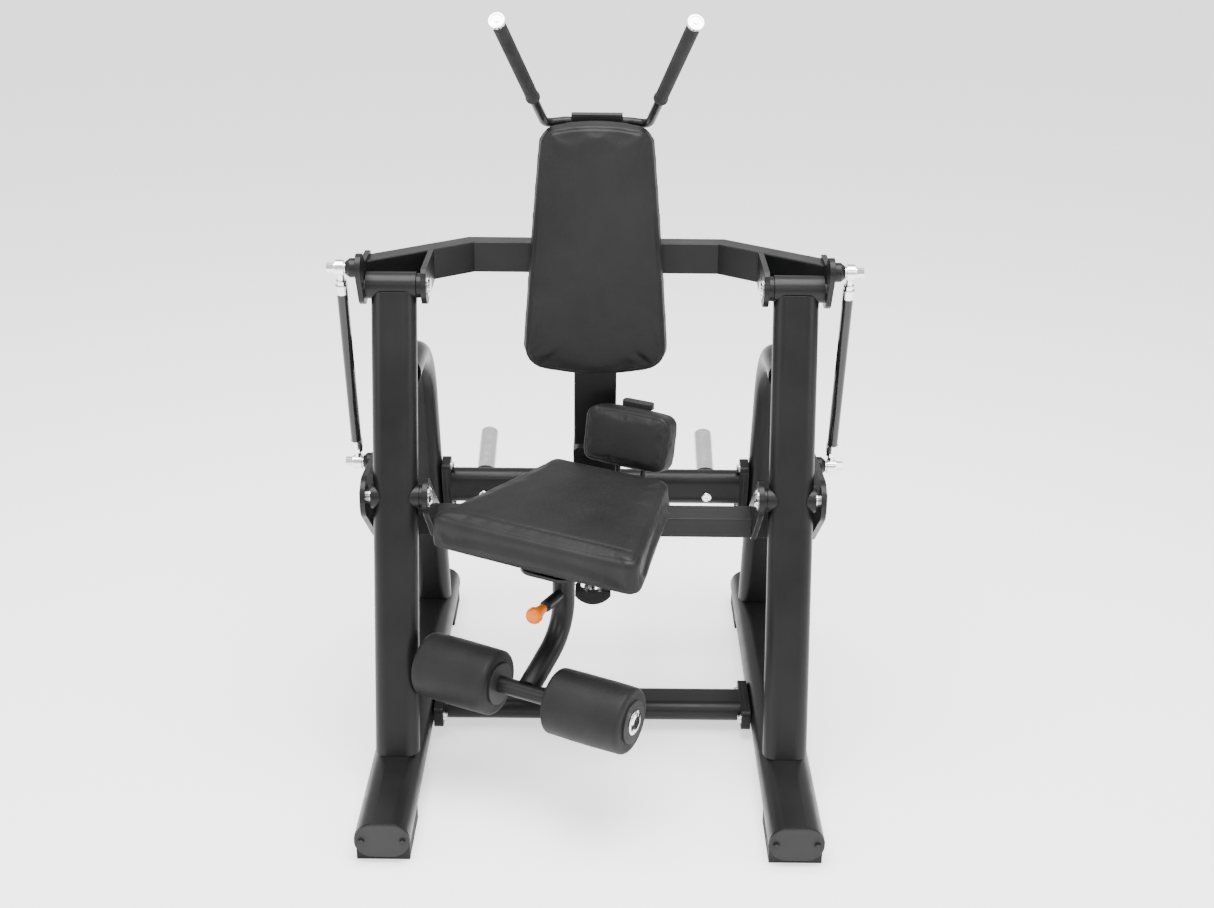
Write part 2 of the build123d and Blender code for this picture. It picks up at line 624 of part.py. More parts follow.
beam_front = LEVER_BEAM_Y - LEVER_BEAM_DEPTH / 2
for name, plate_x, hub_r, eye_r in (
    ("lever_inner_plates", INNER_PLATE_X, 40.0, 0.0),
    ("lever_cranks", OUTER_PLATE_X, 48.0, 28.0),
):
    with BuildPart() as lever_plate:
        for side, tag in SIDES:
            with BuildSketch(yz(side * plate_x)):
                with Locations(LEVER_PIVOT):
                    Circle(hub_r)
                with Locations((beam_front + 14, LEVER_BEAM_Z - 8)):
                    Circle(23)
                with Locations((beam_front + LEVER_BEAM_DEPTH - 10, LEVER_BEAM_Z)):
                    Circle(eye_r - 1 if eye_r else 27)
                if eye_r:
                    with Locations(LEVER_PIN):
                        Circle(eye_r)
                make_hull()
                with Locations(LEVER_PIVOT):
                    Circle(SHAFT_R, mode=Mode.SUBTRACT)
            extrude(amount=ARM_PLATE / 2, both=True)
            if eye_r:
                outer = side * (OUTER_PLATE_X + ARM_PLATE / 2)
                with BuildSketch(Plane(origin=(outer, *LEVER_PIN), x_dir=(0, 1, 0), z_dir=(side, 0, 0))):
                    Circle(21)
                extrude(amount=14)
                tip = Plane(origin=(outer + side * 14, *LEVER_PIN), x_dir=(0, 1, 0), z_dir=(side, 0, 0))
                with BuildSketch(tip):
                    Circle(21)
                extrude(amount=9, taper=38)
            else:
                with Locations((side * plate_x, LEVER_BEAM_Y, LEVER_BEAM_Z)):
                    Box(40, LEVER_BEAM_DEPTH, LEVER_BEAM_HEIGHT, mode=Mode.SUBTRACT)
    save(lever_plate.part, name)

with BuildPart() as lever_shaft:
    for side, tag in SIDES:
        with BuildSketch(yz(side * (INNER_PLATE_X - ARM_PLATE / 2))):
            with Locations(LEVER_PIVOT):
                Circle(SHAFT_R)
        extrude(amount=side * (OUTER_PLATE_X - INNER_PLATE_X + ARM_PLATE))
save(lever_shaft.part, "lever_shafts")


inner_face = INNER_PLATE_X - ARM_PLATE / 2
outer_face = OUTER_PLATE_X + ARM_PLATE / 2
for name, pivot, bearing_in in (
    ("yoke_pivot_caps", YOKE_PIVOT, 390.0),
    ("lever_pivot_caps", LEVER_PIVOT, 386.0),
):
    # chrome washer and domed cap on both ends of each shaft, thrust collar inside
    with BuildPart() as caps:
        for side, tag in SIDES:
            for x, way in ((side * inner_face, -side), (side * outer_face, side)):
                with BuildSketch(Plane(origin=(x, *pivot), x_dir=(0, 1, 0), z_dir=(way, 0, 0))):
                    Circle(24)
                extrude(amount=2)
                with BuildSketch(Plane(origin=(x + way * 2, *pivot), x_dir=(0, 1, 0), z_dir=(way, 0, 0))):
                    Circle(21)
                extrude(amount=4, taper=50)
    save(caps.part, name)
    with BuildPart() as collars:
        for side, tag in SIDES:
            near = side * (INNER_PLATE_X + ARM_PLATE / 2)
            with BuildSketch(Plane(origin=(near, *pivot), x_dir=(0, 1, 0), z_dir=(side, 0, 0))):
                Circle(27)
                Circle(SHAFT_R, mode=Mode.SUBTRACT)
            extrude(amount=bearing_in - abs(near) - 0.4)
    save(collars.part, name.replace("caps", "collars"))

# Rod-end bolts, washers and nuts standing out of the crank bosses
boss_face = outer_face + 23
for name, pin in (("upper_rod_bolts", CRANK_PIN), ("lower_rod_bolts", LEVER_PIN)):
    with BuildPart() as rod_bolts:
        for side, tag in SIDES:
            for start_x, radius, thick in (
                (boss_face, 12.0, 3.1),
                (boss_face + 3.1, ROD_BOLT_R, 18.8),
                (boss_face + 21.9, 13.0, 3.0),
            ):
                with BuildSketch(Plane(origin=(side * start_x, *pin), x_dir=(0, 1, 0), z_dir=(side, 0, 0))):
                    Circle(radius)
                extrude(amount=thick)
            tip = Plane(origin=(side * (boss_face + 24.9), *pin), x_dir=(0, 1, 0), z_dir=(side, 0, 0))
            with BuildSketch(tip):
                RegularPolygon(11, 6)
            extrude(amount=16)
    save(rod_bolts.part, name)

# ---------------------------------------------------------------- tie rods
rod_dy = LEVER_PIN[0] - CRANK_PIN[0]
rod_dz = LEVER_PIN[1] - CRANK_PIN[1]
rod_len = hypot(rod_dy, rod_dz)
rod_down = Vector(0, rod_dy / rod_len, rod_dz / rod_len)
for side, tag in SIDES:
    top = Vector(side * ROD_X, *CRANK_PIN)
    bottom = Vector(side * ROD_X, LEVER_PIN[0] + ROD_EYE_SHIFT[0], LEVER_PIN[1] + ROD_EYE_SHIFT[1])
    with BuildPart() as rod:
        with BuildSketch(Plane(origin=top + rod_down * 62, x_dir=(1, 0, 0), z_dir=rod_down)):
            Circle(12)
        extrude(amount=rod_len - 62 - 60)
    save(rod.part, f"tie_rod_{tag}")
    with BuildPart() as ends:
        for centre, way, play in ((top, 1, RUN_FIT), (bottom, -1, ROD_EYE_PLAY)):
            with BuildSketch(Plane(origin=centre, x_dir=(0, 1, 0), z_dir=(1, 0, 0))):
                Circle(ROD_EYE_R)
            extrude(amount=9, both=True)
            stem = rod_down * way
            with BuildSketch(Plane(origin=centre + stem * 10, x_dir=(1, 0, 0), z_dir=stem)):
                Circle(7.5)
            extrude(amount=38)
            with BuildSketch(Plane(origin=centre + stem * 30, x_dir=(1, 0, 0), z_dir=stem)):
                RegularPolygon(12, 6)
            extrude(amount=10)
            with BuildSketch(Plane(origin=centre + stem * 41, x_dir=(1, 0, 0), z_dir=stem)):
                Circle(13.5)
            extrude(amount=21 if way > 0 else 20)
            with BuildSketch(Plane(origin=centre, x_dir=(0, 1, 0), z_dir=(1, 0, 0))):
                Circle(ROD_BOLT_R + play)
            extrude(amount=20, both=True, mode=Mode.SUBTRACT)
    save(ends.part, f"rod_ends_{tag}")

# ---------------------------------------------------------------- seat group
turn = radians(SEAT_TURN)
ACROSS = Vector(cos(turn), -sin(turn), 0)
BACK = Vector(sin(turn), cos(turn), 0)
UP = Vector(0, 0, 1)
SEAT_ORIGIN = Vector(0, SEAT_Y, 0)


def seat_point(x, y, z):
    """A point given across, back and up from the swivel axis."""
    return SEAT_ORIGIN + ACROSS * x + BACK * y + UP * z


def seat_flat(z):
    """Level plane at height z, drawn across and back in the turned frame."""
    return Plane(origin=seat_point(0, 0, z), x_dir=ACROSS, z_dir=UP)


def seat_side(x):
    """Upright plane through the seat, drawn back and up."""
    return Plane(origin=seat_point(x, 0, 0), x_dir=BACK, z_dir=ACROSS)


tilt = radians(SEAT_TILT)
tilted_up = UP * cos(tilt) - BACK * sin(tilt)
cushion_base = Plane(
    origin=seat_point(0, 0, SEAT_TOP_Z) - tilted_up * SEAT_THICK, x_dir=ACROSS, z_dir=tilted_up
)
with BuildPart() as seat_cushion:
    with BuildSketch(cushion_base) as cushion_outline:
        with BuildLine():
            Polyline(
                (-SEAT_FRONT_HALF, SEAT_FRONT_Y),
                (SEAT_FRONT_HALF, SEAT_FRONT_Y),
                (SEAT_REAR_HALF, SEAT_REAR_Y),
                (-SEAT_REAR_HALF, SEAT_REAR_Y),
                close=True,
            )
        make_face()
        fillet(cushion_outline.vertices(), 30)
    extrude(amount=SEAT_THICK)
    fillet(seat_cushion.faces().sort_by(Axis((0, 0, 0), tilted_up))[-1].edges(), 16)
save(seat_cushion.part, "seat_cushion")

# Fabricated seat bracket: round-nosed lower plate, two cheeks, tilted top plate
with BuildPart() as seat_pan:
    with BuildSketch(seat_flat(COLUMN_TOP_Z)):
        Circle(36)
        with Locations((-30, -195), (30, -195)):
            Circle(42)
        make_hull()
    extrude(amount=8)
    for side, tag in SIDES:
        with BuildSketch(seat_side(side * 38)):
            with BuildLine():
                Polyline(
                    (-195, COLUMN_TOP_Z + 4),
                    (12, COLUMN_TOP_Z + 4),
                    (12, SEAT_TOP_Z - SEAT_THICK),
                    (-195, SEAT_TOP_Z - SEAT_THICK - 6),
                    close=True,
                )
            make_face()
        extrude(amount=3, both=True)
    with BuildSketch(cushion_base):
        with Locations((0, -100)):
            RectangleRounded(160, 230, 30)
    extrude(amount=-8)
    with BuildSketch(cushion_base):
        Rectangle(700, 900)
    extrude(amount=60, mode=Mode.SUBTRACT)
save(seat_pan.part, "seat_pan")

# Chrome column turning on the stub
with BuildPart() as column:
    with BuildSketch(seat_flat(ARM_PLATE_TOP_Z + 0.4)):
        Circle(COLUMN_R)
    extrude(amount=COLUMN_TOP_Z - ARM_PLATE_TOP_Z - 0.4)
    with BuildSketch(seat_flat(ARM_PLATE_TOP_Z)):
        Circle(STUB_R + RUN_FIT)
    extrude(amount=STUB_TOP_Z + 0.4 - ARM_PLATE_TOP_Z, mode=Mode.SUBTRACT)
save(column.part, "seat_column")

# Curved tube from the under-plate down and forward to the roller shaft
tube_top_z = COLUMN_TOP_Z
with BuildPart() as leg_tube:
    with BuildLine(seat_side(0)) as tube_path:
        FilletPolyline(
            (LEG_TUBE_Y, tube_top_z),
            (LEG_TUBE_Y, 372),
            (ROLLER_Y + 8, ROLLER_Z + 6),
            radius=115,
        )
    with BuildSketch(Plane(origin=tube_path.line @ 0, x_dir=ACROSS, z_dir=tube_path.line % 0)):
        Circle(LEG_TUBE_R)
    sweep(path=tube_path.line)
    with BuildSketch(seat_side(0)):
        with Locations((ROLLER_Y, ROLLER_Z)):
            Circle(ROLLER_SHAFT_R)
    extrude(amount=60, both=True, mode=Mode.SUBTRACT)
    with BuildSketch(Plane(origin=seat_point(0, 0, PIN_Z), x_dir=ACROSS, z_dir=BACK)):
        Circle(PIN_R + RUN_FIT)
    extrude(amount=-250, mode=Mode.SUBTRACT)
save(leg_tube.part, "leg_tube")

# Pull pin: fixed barrel in front of the tube, sliding pin with its knob
barrel_front_y = LEG_TUBE_Y - LEG_TUBE_R - 57
with BuildPart() as barrel:
    with BuildSketch(Plane(origin=seat_point(0, barrel_front_y, PIN_Z), x_dir=ACROSS, z_dir=BACK)):
        Circle(13.5)
        Circle(PIN_R + RUN_FIT, mode=Mode.SUBTRACT)
    extrude(amount=81)
    with BuildSketch(Plane(origin=seat_point(0, LEG_TUBE_Y, 0), x_dir=ACROSS, z_dir=UP)):
        Circle(LEG_TUBE_R)
    extrude(amount=600, mode=Mode.SUBTRACT)
save(barrel.part, "pin_barrel")

knob_y = barrel_front_y - 10
with BuildPart() as pin:
    with BuildSketch(Plane(origin=seat_point(0, knob_y, PIN_Z), x_dir=ACROSS, z_dir=BACK)):
        Circle(PIN_R)
    extrude(amount=-COLUMN_R - 1 - knob_y)
save(pin.part, "pull_pin")

with BuildPart() as knob:
    with BuildSketch(seat_side(0)):
        with BuildLine():
            Polyline(
                (knob_y, PIN_Z),
                (knob_y, PIN_Z + 10),
                (knob_y - 7, PIN_Z + 11),
                (knob_y - 26, PIN_Z + 14),
                (knob_y - 33, PIN_Z + 18.5),
                (knob_y - 43, PIN_Z + 18.5),
                (knob_y - 49, PIN_Z + 15),
                (knob_y - 52, PIN_Z + 8),
                (knob_y - 52, PIN_Z),
                close=True,
            )
        make_face()
    revolve(axis=Axis(seat_point(0, 0, PIN_Z), BACK))
save(knob.part, "pull_knob")

roller_end = ROLLER_GAP / 2 + ROLLER_LENGTH
with BuildPart() as roller_shaft:
    with BuildSketch(seat_side(0)):
        with Locations((ROLLER_Y, ROLLER_Z)):
            Circle(ROLLER_SHAFT_R)
    extrude(amount=roller_end + 4, both=True)
save(roller_shaft.part, "roller_shaft")

with BuildPart() as roller_caps:
    for side, tag in SIDES:
        at = seat_point(side * (roller_end + 4), ROLLER_Y, ROLLER_Z)
        with BuildSketch(Plane(origin=at, x_dir=BACK, z_dir=ACROSS * side)):
            Circle(27)
        extrude(amount=1.5)
        with BuildSketch(Plane(origin=at + ACROSS * side * 1.5, x_dir=BACK, z_dir=ACROSS * side)):
            Circle(26)
        extrude(amount=2, taper=60)
        with BuildSketch(Plane(origin=at + ACROSS * side * 3.5, x_dir=BACK, z_dir=ACROSS * side)):
            Circle(22)
        extrude(amount=1.5, taper=78)
save(roller_caps.part, "roller_end_caps")

for side, tag in SIDES:
    middle = side * (ROLLER_GAP / 2 + ROLLER_LENGTH / 2)
    with BuildPart() as roller:
        with BuildSketch(seat_side(middle)):
            with Locations((ROLLER_Y, ROLLER_Z)):
                Circle(ROLLER_R)
                Circle(26, mode=Mode.SUBTRACT)
        extrude(amount=ROLLER_LENGTH / 2 - 1, both=True)
        fillet(roller.edges().filter_by(GeomType.CIRCLE).group_by(SortBy.RADIUS)[-1], 10)
    save(roller.part, f"leg_roller_{tag}")
    with BuildPart() as core:
        with BuildSketch(seat_side(middle)):
            with Locations((ROLLER_Y, ROLLER_Z)):
                Circle(26)
                Circle(ROLLER_SHAFT_R + RUN_FIT, mode=Mode.SUBTRACT)
        extrude(amount=ROLLER_LENGTH / 2 - 1, both=True)
        for way in (-1, 1):
            with BuildSketch(seat_side(middle + way * (ROLLER_LENGTH / 2 - 1))):
                with Locations((ROLLER_Y, ROLLER_Z)):
                    Circle(47)
                    Circle(ROLLER_SHAFT_R + RUN_FIT, mode=Mode.SUBTRACT)
            extrude(amount=way * 4)
    save(core.part, f"roller_core_{tag}")

# Lumbar pad behind the seat, leaning back, on two short posts
LUMBAR_Y, LUMBAR_Z = 139.0, 731.5
LUMBAR_X = 4.0
LUMBAR_WIDTH, LUMBAR_TALL, LUMBAR_THICK, LUMBAR_LEAN = 216.0, 134.0, 58.0, 12.0
POST_X, POST_Y = 33.0, 183.0
lean = radians(LUMBAR_LEAN)
lumbar_up = UP * cos(lean) + BACK * sin(lean)
lumbar_out = ACROSS.cross(lumbar_up)
lumbar_front = Plane(
    origin=seat_point(LUMBAR_X, LUMBAR_Y, LUMBAR_Z), x_dir=ACROSS, z_dir=lumbar_out
)
with BuildPart() as lumbar_pad:
    with BuildSketch(lumbar_front):
        RectangleRounded(LUMBAR_WIDTH, LUMBAR_TALL, 26)
    extrude(amount=-LUMBAR_THICK)
    fillet(lumbar_pad.faces().sort_by(Axis((0, 0, 0), lumbar_out))[-1].edges(), 10)
save(lumbar_pad.part, "lumbar_pad")

# Flat bar back from the seat bracket, two posts up to the pad, a plate behind it
with BuildPart() as bracket:
    with BuildSketch(seat_flat(572)):
        with Locations((0, (12 + POST_Y + 14) / 2)):
            Rectangle(2 * POST_X + 24, POST_Y + 14 - 12)
    extrude(amount=8)
    with BuildSketch(seat_flat(580)):
        with Locations((-POST_X, POST_Y), (POST_X, POST_Y)):
            Circle(7)
    extrude(amount=130)
    with BuildSketch(lumbar_front):
        with Locations((0, 150)):
            Rectangle(2 * LUMBAR_WIDTH, 300 + LUMBAR_TALL)
    extrude(amount=-LUMBAR_THICK - 30, mode=Mode.SUBTRACT)
    with BuildSketch(lumbar_front.offset(-LUMBAR_THICK)):
        RectangleRounded(140, LUMBAR_TALL - 34, 8)
    extrude(amount=-5)
save(bracket.part, "lumbar_bracket")

knob_back = lumbar_front.offset(-LUMBAR_THICK - 5)
with BuildPart() as hand_screw:
    with BuildSketch(knob_back):
        with Locations((5, 48)):
            RectangleRounded(24, 34, 6)
    extrude(amount=-10)
    with BuildSketch(seat_flat(LUMBAR_Z + 56)):
        with Locations((LUMBAR_X, LUMBAR_Y + 73)):
            RectangleRounded(78, 24, 10)
    extrude(amount=13)
save(hand_screw.part, "lumbar_knob")
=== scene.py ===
import math

import bpy
import numpy as np
from mathutils import Matrix, Vector
from mathutils.kdtree import KDTree


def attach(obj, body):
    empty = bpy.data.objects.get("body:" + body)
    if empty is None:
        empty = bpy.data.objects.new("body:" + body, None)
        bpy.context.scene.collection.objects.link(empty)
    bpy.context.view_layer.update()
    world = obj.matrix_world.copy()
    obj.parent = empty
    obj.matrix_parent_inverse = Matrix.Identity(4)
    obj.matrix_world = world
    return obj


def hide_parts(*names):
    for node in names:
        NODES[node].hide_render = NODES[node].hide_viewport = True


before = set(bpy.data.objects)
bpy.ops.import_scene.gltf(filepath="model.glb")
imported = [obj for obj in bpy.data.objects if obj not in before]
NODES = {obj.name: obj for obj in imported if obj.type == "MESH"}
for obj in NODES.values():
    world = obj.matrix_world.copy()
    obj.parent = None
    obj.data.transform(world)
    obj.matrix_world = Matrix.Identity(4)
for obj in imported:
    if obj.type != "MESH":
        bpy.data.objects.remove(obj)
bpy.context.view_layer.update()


# ------------------------------------------------------------------ materials
def material(name, **values):
    mat = bpy.data.materials.new(name)
    mat.use_nodes = True
    tree = mat.node_tree
    shader = tree.nodes["Principled BSDF"]
    for key, value in values.items():
        shader.inputs[key.replace("_", " ")].default_value = value
    return mat, tree, shader


def node(tree, kind, **values):
    made = tree.nodes.new(kind)
    for key, value in values.items():
        if hasattr(made, key):
            setattr(made, key, value)
        else:
            made.inputs[key.replace("_", " ")].default_value = value
    return made


def noise(tree, where, scale, detail=3.0, rough=0.5):
    made = node(tree, "ShaderNodeTexNoise", Scale=scale, Detail=detail, Roughness=rough)
    tree.links.new(where, made.inputs["Vector"])
    return made.outputs["Fac"]


def ramp(tree, value, low, high, start=0.3, end=0.7):
    made = tree.nodes.new("ShaderNodeValToRGB")
    stops = made.color_ramp.elements
    stops[0].position, stops[1].position = start, end
    stops[0].color, stops[1].color = (*low, 1), (*high, 1)
    tree.links.new(value, made.inputs["Fac"])
    return made.outputs["Color"]


def spread(tree, value, low, high, start=0.3, end=0.7):
    made = tree.nodes.new("ShaderNodeMapRange")
    for key, number in (("From Min", start), ("From Max", end), ("To Min", low), ("To Max", high)):
        made.inputs[key].default_value = number
    tree.links.new(value, made.inputs["Value"])
    return made.outputs["Result"]


def place(tree):
    return tree.nodes.new("ShaderNodeTexCoord").outputs["Object"]


def bump(tree, height, strength, distance, normal=None):
    made = node(tree, "ShaderNodeBump", Strength=strength, Distance=distance)
    tree.links.new(height, made.inputs["Height"])
    if normal is not None:
        tree.links.new(normal, made.inputs["Normal"])
    return made.outputs["Normal"]


def soft_edge(tree, radius):
    return node(tree, "ShaderNodeBevel", samples=6, Radius=radius).outputs["Normal"]


def painted(name, dark, light, rough, peel=0.12, edge=0.0016, coat=0.0):
    """Powder coat or enamel: fine orange peel, slight cloudiness, softened edges."""
    mat, tree, shader = material(name, Coat_Weight=coat, Coat_Roughness=0.12, Specular_IOR_Level=0.2)
    here = place(tree)
    tree.links.new(ramp(tree, noise(tree, here, 5.0), dark, light), shader.inputs["Base Color"])
    gloss = spread(tree, noise(tree, here, 14.0, 4.0), rough - 0.04, rough + 0.05)
    tree.links.new(gloss, shader.inputs["Roughness"])
    normal = bump(tree, noise(tree, here, 520.0, 2.0), peel, 0.0004, soft_edge(tree, edge))
    tree.links.new(normal, shader.inputs["Normal"])
    return mat


def metal(name, colour, rough, brush=0.05, edge=0.0008):
    """Bright metal with faint handling marks and turning lines."""
    mat, tree, shader = material(name, Metallic=1.0)
    here = place(tree)
    low = tuple(c * 0.86 for c in colour)
    tree.links.new(ramp(tree, noise(tree, here, 22.0, 4.0), low, colour), shader.inputs["Base Color"])
    gloss = spread(tree, noise(tree, here, 60.0, 5.0), rough * 0.7, rough * 1.5)
    tree.links.new(gloss, shader.inputs["Roughness"])
    normal = bump(tree, noise(tree, here, 900.0, 2.0), brush, 0.0002, soft_edge(tree, edge))
    tree.links.new(normal, shader.inputs["Normal"])
    return mat


def leather(name, dark, light, grain, strength, rough=0.5):
    """Grained upholstery: cells for the grain, broad noise for creasing and wear."""
    mat, tree, shader = material(name, Specular_IOR_Level=0.2)
    here = place(tree)
    tree.links.new(ramp(tree, noise(tree, here, 7.0, 5.0), dark, light), shader.inputs["Base Color"])
    gloss = spread(tree, noise(tree, here, 18.0, 4.0), rough - 0.05, rough + 0.07)
    tree.links.new(gloss, shader.inputs["Roughness"])
    cells = node(tree, "ShaderNodeTexVoronoi", feature="SMOOTH_F1", Scale=grain)
    wobble = node(tree, "ShaderNodeTexNoise", Scale=grain * 0.4, Detail=2.0)
    tree.links.new(here, wobble.inputs["Vector"])
    tree.links.new(here, cells.inputs["Vector"])
    fine = bump(tree, cells.outputs["Distance"], strength, 0.0006)
    tree.links.new(bump(tree, wobble.outputs["Fac"], strength * 0.6, 0.0006, fine), shader.inputs["Normal"])
    return mat


def rubbery(name, dark, light, scale, strength, rough=0.75):
    mat, tree, shader = material(name, Specular_IOR_Level=0.2)
    here = place(tree)
    tree.links.new(ramp(tree, noise(tree, here, 9.0, 4.0), dark, light), shader.inputs["Base Color"])
    gloss = spread(tree, noise(tree, here, 25.0), rough - 0.06, rough + 0.08)
    tree.links.new(gloss, shader.inputs["Roughness"])
    normal = bump(tree, noise(tree, here, scale, 4.0), strength, 0.0006, soft_edge(tree, 0.001))
    tree.links.new(normal, shader.inputs["Normal"])
    return mat


def grey(value):
    return (value, value, value * 1.03)


PAINT = painted("powder_coat", grey(0.005), grey(0.009), 0.34)
ENAMEL = painted("rod_enamel", grey(0.008), grey(0.013), 0.16, peel=0.04, coat=0.5)
END_PLATE = painted("end_plate_coat", grey(0.014), grey(0.019), 0.45)
OXIDE = painted("black_oxide", grey(0.008), grey(0.014), 0.3, edge=0.0006)
CHROME = metal("chrome", (0.92, 0.92, 0.93), 0.1)
STEEL = metal("turned_steel", (0.85, 0.85, 0.86), 0.2, brush=0.12)
PAD = leather("upholstery", grey(0.006), grey(0.010), 430.0, 0.6)
FOAM = leather("roller_cover", grey(0.006), grey(0.010), 430.0, 0.6, 0.55)
RUBBER = rubbery("rubber", grey(0.012), grey(0.02), 700.0, 0.2)
GRIP = rubbery("grip_rubber", grey(0.012), grey(0.024), 420.0, 0.5)
PLASTIC = painted("black_plastic", grey(0.014), grey(0.02), 0.45, peel=0.06)
BOARD = rubbery("backing_board", grey(0.014), grey(0.02), 120.0, 0.2)
KNOB = painted("orange_plastic", (0.60, 0.12, 0.0), (0.68, 0.14, 0.0), 0.34, peel=0.05)

FINISH = {
    "rail_end_plates": END_PLATE,
    "tie_rod_left": ENAMEL,
    "tie_rod_right": ENAMEL,
    "end_plate_screws": OXIDE,
    "pin_barrel": OXIDE,
    "rubber_feet": RUBBER,
    "horn_collars": RUBBER,
    "stop_bumper": RUBBER,
    "back_pad_board": BOARD,
    "roller_core_left": PLASTIC,
    "roller_core_right": PLASTIC,
    "lumbar_knob": PLASTIC,
    "pull_knob": KNOB,
    "pull_pin": STEEL,
    "plate_horns": STEEL,
}
for name in (
    "beam_bolts", "horn_screws", "yoke_shafts", "lever_shafts", "yoke_pivot_caps", "lever_pivot_caps",
    "upper_rod_bolts", "lower_rod_bolts", "rod_ends_left", "rod_ends_right", "seat_column", "swivel_stub",
    "grip_end_caps", "roller_end_caps",
):
    FINISH[name] = CHROME
for name, obj in NODES.items():
    for part_slot in obj.material_slots:
        part_slot.material = FINISH.get(name, PAINT)


# ------------------------------------------------------------------ mesh helpers
def make(name, verts, faces, mat, smooth=True):
    mesh = bpy.data.meshes.new(name)
    mesh.from_pydata([tuple(v) for v in verts], [], faces)
    mesh.update()
    obj = bpy.data.objects.new(name, mesh)
    bpy.context.scene.collection.objects.link(obj)
    for one in mat if isinstance(mat, (list, tuple)) else [mat]:
        mesh.materials.append(one)
    if smooth:
        mesh.polygons.foreach_set("use_smooth", [True] * len(mesh.polygons))
    return obj


def rounded(points, radii, bows, step=0.005):
    """Closed outline of a polygon with rounded corners and slightly bowed sides."""
    pts = [np.array(p, float) for p in points]
    count = len(pts)
    out = []
    for i in range(count):
        a, b, c = pts[i - 1], pts[i], pts[(i + 1) % count]
        into, away = (b - a) / np.linalg.norm(b - a), (c - b) / np.linalg.norm(c - b)
        turn = math.acos(np.clip(into @ away, -1, 1))
        cut = radii[i] * math.tan(turn / 2)
        start, end = b - into * cut, b + away * cut
        centre = start + np.array([-into[1], into[0]]) * radii[i]
        begin = math.atan2(*(start - centre)[::-1])
        for k in range(13):
            angle = begin + turn * k / 12
            out.append((centre + radii[i] * np.array([math.cos(angle), math.sin(angle)]), None))
        out.append((end, i))
    line = []
    total = len(out)
    for i in range(total):
        p, side = out[i]
        q = out[(i + 1) % total][0]
        gap = np.linalg.norm(q - p)
        steps = max(1, int(round(gap / step)))
        normal = np.array([(q - p)[1], -(q - p)[0]]) / max(gap, 1e-9)
        bow = bows[side] if side is not None else 0.0
        for k in range(steps):
            t = k / steps
            line.append(p + (q - p) * t + normal * bow * 4 * t * (1 - t))
    return np.array([p for i, p in enumerate(line) if i == 0 or np.linalg.norm(p - line[i - 1]) > 1e-5])


def outline_normals(line):
    ahead, behind = np.roll(line, -1, 0), np.roll(line, 1, 0)
    d = ahead - behind
    n = np.stack([d[:, 1], -d[:, 0]], 1)
    return n / np.linalg.norm(n, axis=1, keepdims=True)


class Frame2:
    """Where a pad lies: origin on its back face, u across, v along, n out of its front."""

    def __init__(self, origin, u, v):
        self.o, self.u, self.v = (np.array(x, float) for x in (origin, u, v))
        self.n = np.cross(self.u, self.v)

    def at(self, uv, h):
        return self.o + np.outer(uv[:, 0], self.u) + np.outer(uv[:, 1], self.v) + np.outer(h, self.n)

    def local(self, p):
        d = p - self.o
        return np.stack([d @ self.u, d @ self.v, d @ self.n], 1)


def pad_body(line, thick, front_r, back_r, crown):
    """Rings of (uv, height) from the back centre round the edge to the front centre."""
    normals = outline_normals(line)
    centre = line.mean(0)
    rings = []
    for k in range(6):
        rings.append((centre + (line - normals * back_r - centre) * (0.1 + 0.9 * k / 5), 0.0))
    for k in range(1, 7):
        a = math.pi / 2 * k / 6
        rings.append((line - normals * back_r * (1 - math.sin(a)), back_r * (1 - math.cos(a))))
    for k in range(1, 9):
        rings.append((line, back_r + (thick - front_r - back_r) * k / 8))
    for k in range(1, 9):
        a = math.pi / 2 * k / 8
        rings.append((line - normals * front_r * (1 - math.cos(a)), thick - front_r * (1 - math.sin(a))))
    inner = line - normals * front_r
    for k in range(1, 12):
        s = 1 - k / 12
        rings.append((centre + (inner - centre) * s, thick + crown * (1 - s ** 2.5)))
    return rings, centre


def pad(name, where, line, thick, front_r, back_r, crown, voxel, mat, grooves=(), pressure=4.0, travel=0.005):
    """A stuffed pad: closed shell, remeshed, inflated as cloth, then its seams pressed in."""
    rings, centre = pad_body(line, thick, front_r, back_r, crown)
    count = len(line)
    verts = np.concatenate([where.at(uv, np.full(count, h)) for uv, h in rings])
    verts = np.concatenate([verts, where.at(np.array([centre, centre]), np.array([0.0, thick + crown]))])
    faces = []
    for r in range(len(rings) - 1):
        for i in range(count):
            j = (i + 1) % count
            faces.append((r * count + i, r * count + j, (r + 1) * count + j, (r + 1) * count + i))
    back, front = len(verts) - 2, len(verts) - 1
    last = (len(rings) - 1) * count
    for i in range(count):
        j = (i + 1) % count
        faces.append((back, j, i))
        faces.append((front, last + i, last + j))
    obj = make(name, verts, faces, mat)
    view = bpy.context.view_layer
    remesh = obj.modifiers.new("remesh", "REMESH")
    remesh.mode, remesh.voxel_size, remesh.use_smooth_shade = "VOXEL", voxel, True
    view.objects.active = obj
    apply_all(obj)
    inflate(obj, pressure, travel, where)
    fine = obj.modifiers.new("fine", "SUBSURF")
    fine.levels = fine.render_levels = 1
    apply_all(obj)
    press_seams(obj, where, grooves)
    obj.data.polygons.foreach_set("use_smooth", [True] * len(obj.data.polygons))
    return obj


def apply_all(obj):
    """Turns the evaluated mesh into the object's own mesh."""
    view = bpy.context.view_layer
    view.update()
    made = bpy.data.meshes.new_from_object(obj.evaluated_get(view.depsgraph))
    old = obj.data
    obj.modifiers.clear()
    obj.data = made
    made.name = old.name
    bpy.data.meshes.remove(old)


def points(obj):
    co = np.empty(len(obj.data.vertices) * 3)
    obj.data.vertices.foreach_get("co", co)
    return co.reshape(-1, 3)


def put_points(obj, co):
    obj.data.vertices.foreach_set("co", co.reshape(-1))
    obj.data.update()


